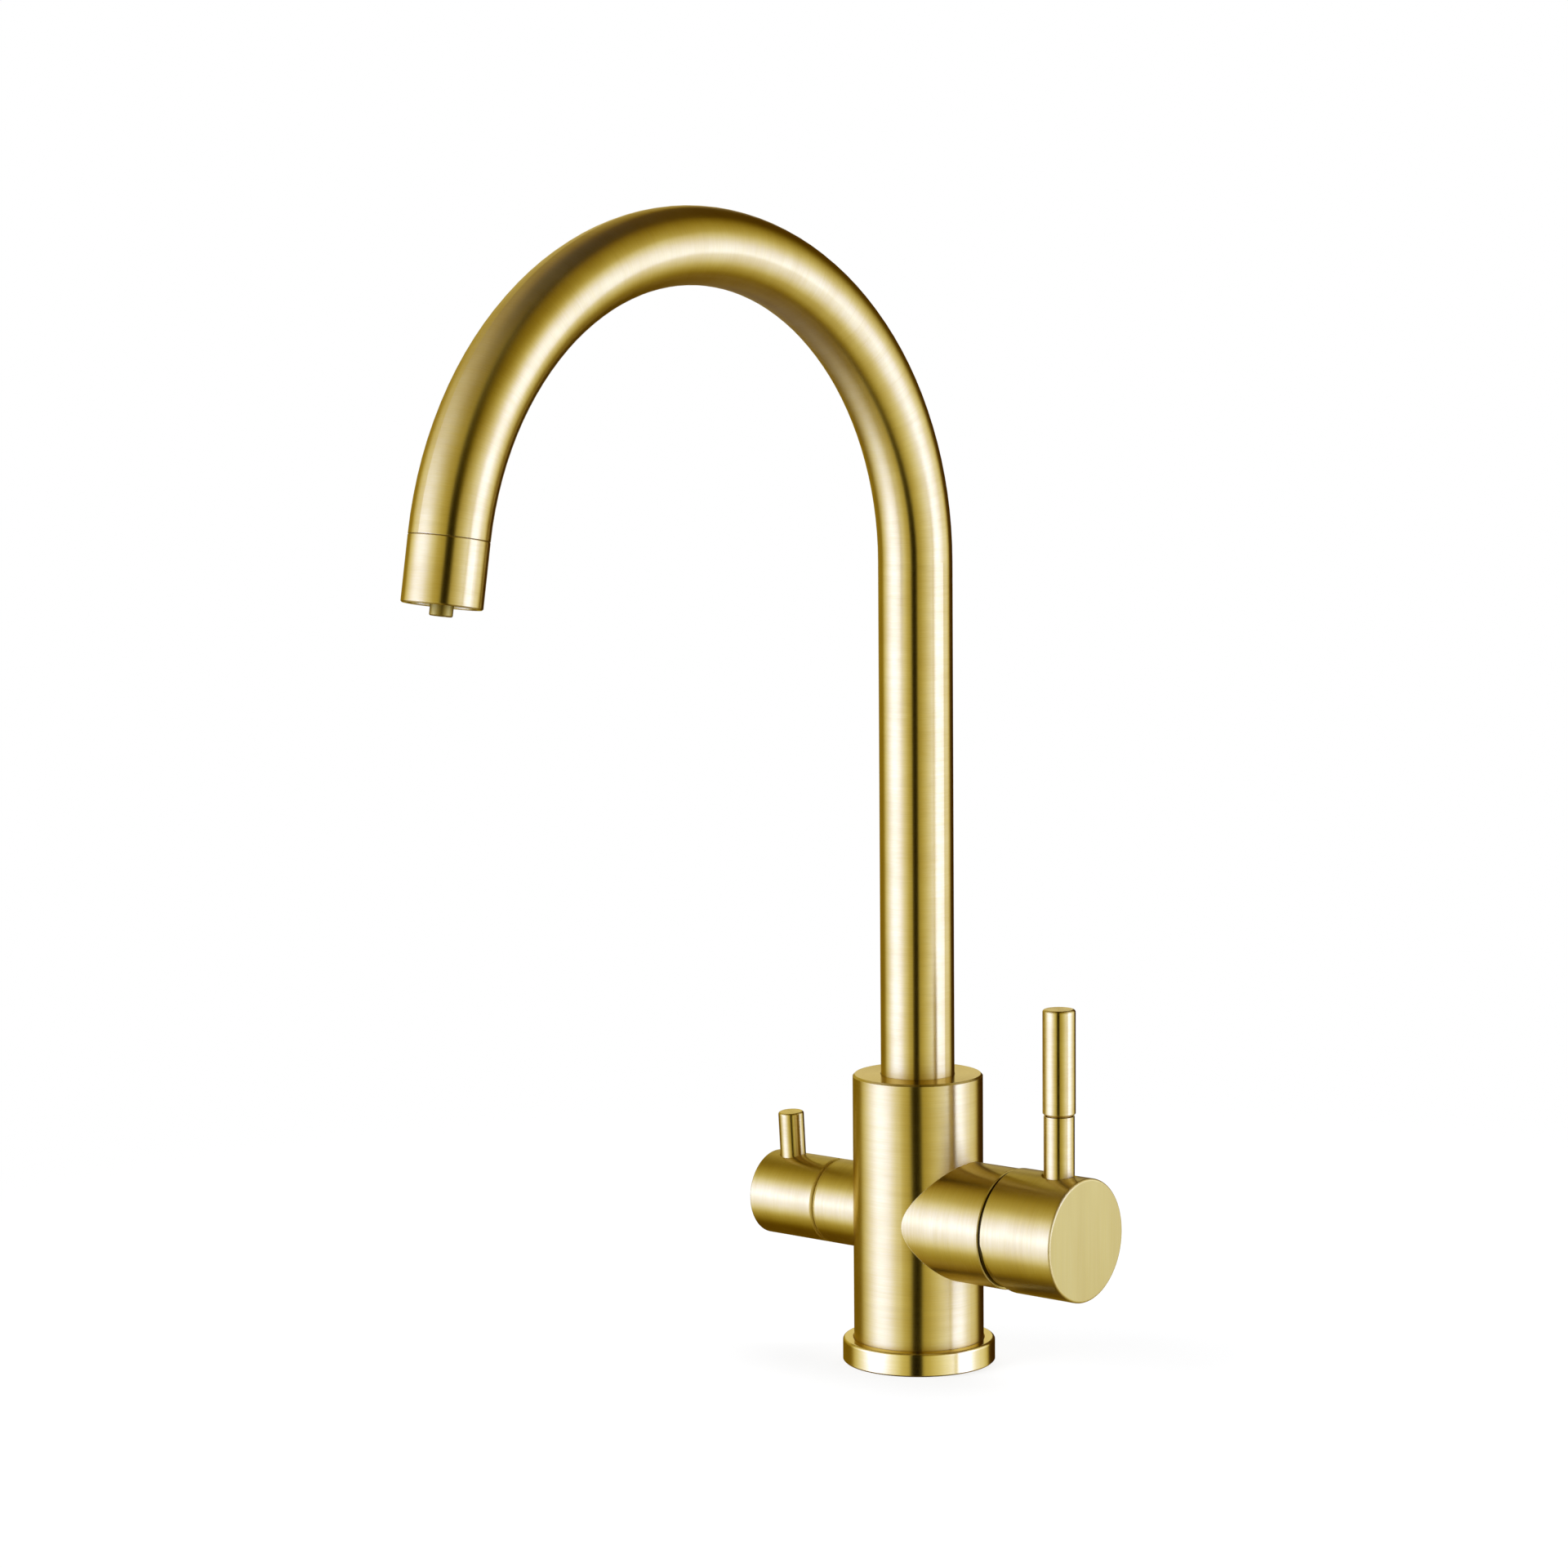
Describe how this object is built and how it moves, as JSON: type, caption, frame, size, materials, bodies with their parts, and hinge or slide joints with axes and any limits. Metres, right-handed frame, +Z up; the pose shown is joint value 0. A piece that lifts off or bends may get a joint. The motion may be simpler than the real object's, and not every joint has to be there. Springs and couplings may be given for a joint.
{
  "type": "kitchen faucet",
  "caption": "Deck-mounted brushed-gold kitchen faucet: swivelling swan-neck spout, side lever for hot and cold, and a second small lever for filtered water.",
  "frame": {"origin": "in the deck surface, at the centre of the base ring's underside", "axes": "+Z up, spout towards -Y at rest (swung 4.1 degrees towards -X as in the picture), mixer valve on +X, filtered-water valve on -X"},
  "size_m": [0.1334, 0.2493, 0.4602],
  "materials": {
    "brushed_gold": "stainless steel with a brushed gold coating, grain round each turned piece",
    "brass": "bare machined brass",
    "steel": "bare zinc-plated or stainless steel",
    "rubber": "matt black rubber",
    "ceramic": "lapped white ceramic",
    "plastic": "natural white moulded plastic",
    "dark_plastic": "dark grey moulded plastic"
  },
  "bodies": {
    "body": {"faucet_body": "brushed_gold", "base_ring": "brushed_gold", "base_gasket": "rubber", "mounting_stud": "steel", "clamp_gasket": "rubber", "clamp_washer": "steel", "clamp_nut": "brass", "cartridge_base": "plastic", "port_seals": "rubber", "fixed_disc": "ceramic", "cartridge_shell": "plastic", "cartridge_collar": "brass", "dome_cover": "brushed_gold", "filter_headwork": "brass", "filter_port_seal": "rubber", "filter_fixed_disc": "ceramic", "glide_ring": "plastic", "spout_screw": "steel"},
    "mixer_rotor": {"cartridge_rotor": "dark_plastic", "pivot_pin": "steel"},
    "mixer_handle": {"mixer_spindle": "brass", "handle_cap": "brushed_gold", "lever_rod": "brushed_gold", "lever_grip": "brushed_gold"},
    "mixer_disc": {"moving_disc": "ceramic", "disc_carrier": "dark_plastic"},
    "filter_handle": {"filter_moving_disc": "ceramic", "filter_spindle": "brass", "filter_o_ring": "rubber", "filter_knob": "brushed_gold", "filter_lever": "brushed_gold"},
    "spout": {"spout_tube": "brushed_gold", "spout_insert": "brass", "spout_o_rings": "rubber", "stem_o_ring": "rubber", "filtered_tube": "plastic", "outlet_sleeve": "brushed_gold", "aerator_seal": "rubber", "aerator": "dark_plastic", "filter_nozzle": "brushed_gold"}
  },
  "joints": [
    {"name": "spout_swivel", "type": "hinge", "parent": "body", "child": "spout", "pos_m": [0, 0, 0.085], "axis": [0, 0, 1], "continuous": true},
    {"name": "mixer_turn", "type": "hinge", "parent": "body", "child": "mixer_rotor", "pos_m": [0.039, 0, 0.0505], "axis": [1, 0, 0], "range_deg": [-45, 45]},
    {"name": "mixer_tilt", "type": "hinge", "parent": "mixer_rotor", "child": "mixer_handle", "pos_m": [0.039, 0, 0.0505], "axis": [0, 1, 0], "range_deg": [0, 15]},
    {"name": "disc_slide", "type": "slide", "parent": "mixer_rotor", "child": "mixer_disc", "axis": [0, 0, 1], "range_m": [0, 0.0036]},
    {"name": "filter_turn", "type": "hinge", "parent": "body", "child": "filter_handle", "pos_m": [-0.0355, 0, 0.0505], "axis": [1, 0, 0], "range_deg": [-4, 86]}
  ],
  "couplings": [
    {"joint": "disc_slide", "follows": "mixer_tilt", "m_per_rad": 0.0133}
  ]
}
